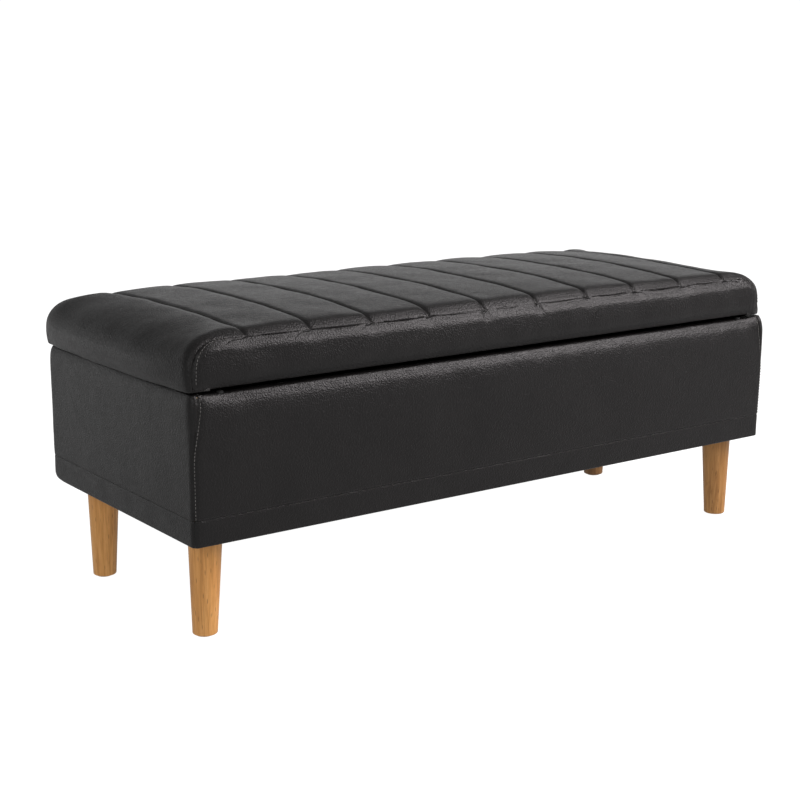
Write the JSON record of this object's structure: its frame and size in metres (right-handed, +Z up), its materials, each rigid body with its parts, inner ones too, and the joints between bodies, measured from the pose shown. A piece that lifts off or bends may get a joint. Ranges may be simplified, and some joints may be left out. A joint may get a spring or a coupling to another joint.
{
  "type": "storage bench",
  "caption": "Upholstered storage bench: a leather-covered box on tapered round wooden legs, with a hinged lid padded in sewn channels that opens over a lined compartment.",
  "frame": {"origin": "on the floor, under the middle of the bench's plan", "axes": "+X along the bench, +Y from the front to the hinged back, +Z up"},
  "size_m": [1.15, 0.4794, 0.457],
  "materials": {
    "faux_leather": "satin",
    "leg_wood": "satin",
    "board": "matte",
    "foam": "matte",
    "lining": "matte",
    "steel": "satin",
    "glide_plastic": "matte",
    "bumper_rubber": "matte"
  },
  "bodies": {
    "box": {"bottom_board": "board", "front_board": "board", "rear_board": "board", "left_end_board": "board", "right_end_board": "board", "corner_batten_front_left": "board", "corner_batten_front_right": "board", "corner_batten_rear_left": "board", "corner_batten_rear_right": "board", "front_cover": "faux_leather", "rear_cover": "faux_leather", "left_end_cover": "faux_leather", "right_end_cover": "faux_leather", "front_hem": "faux_leather", "rear_hem": "faux_leather", "left_end_hem": "faux_leather", "right_end_hem": "faux_leather", "lining_walls": "lining", "lining_floor": "lining", "dust_cover": "lining", "leg_plate_front_left": "steel", "leg_plate_front_right": "steel", "leg_plate_rear_left": "steel", "leg_plate_rear_right": "steel", "leg_front_left": "leg_wood", "leg_front_right": "leg_wood", "leg_rear_left": "leg_wood", "leg_rear_right": "leg_wood", "leg_bolt_front_left": "steel", "leg_bolt_front_right": "steel", "leg_bolt_rear_left": "steel", "leg_bolt_rear_right": "steel", "leg_glide_front_left": "glide_plastic", "leg_glide_front_right": "glide_plastic", "leg_glide_rear_left": "glide_plastic", "leg_glide_rear_right": "glide_plastic", "rim_bumper_front_left": "bumper_rubber", "rim_bumper_front_right": "bumper_rubber", "rim_bumper_rear_left": "bumper_rubber", "rim_bumper_rear_right": "bumper_rubber", "hinge_box_leaf_left": "steel", "hinge_box_leaf_right": "steel", "hinge_pin_left": "steel", "hinge_pin_right": "steel"},
    "lid": {"lid_board": "board", "seat_foam": "foam", "lid_top_cover": "faux_leather", "lid_front_boxing": "faux_leather", "lid_rear_boxing": "faux_leather", "lid_lining": "lining", "hinge_lid_leaf_left": "steel", "hinge_lid_leaf_right": "steel"}
  },
  "joints": [
    {"name": "lid_hinge", "type": "hinge", "parent": "box", "child": "lid", "pos_m": [0, 0.2367, 0.371], "axis": [-1, 0, 0], "range_deg": [0, 95]}
  ]
}
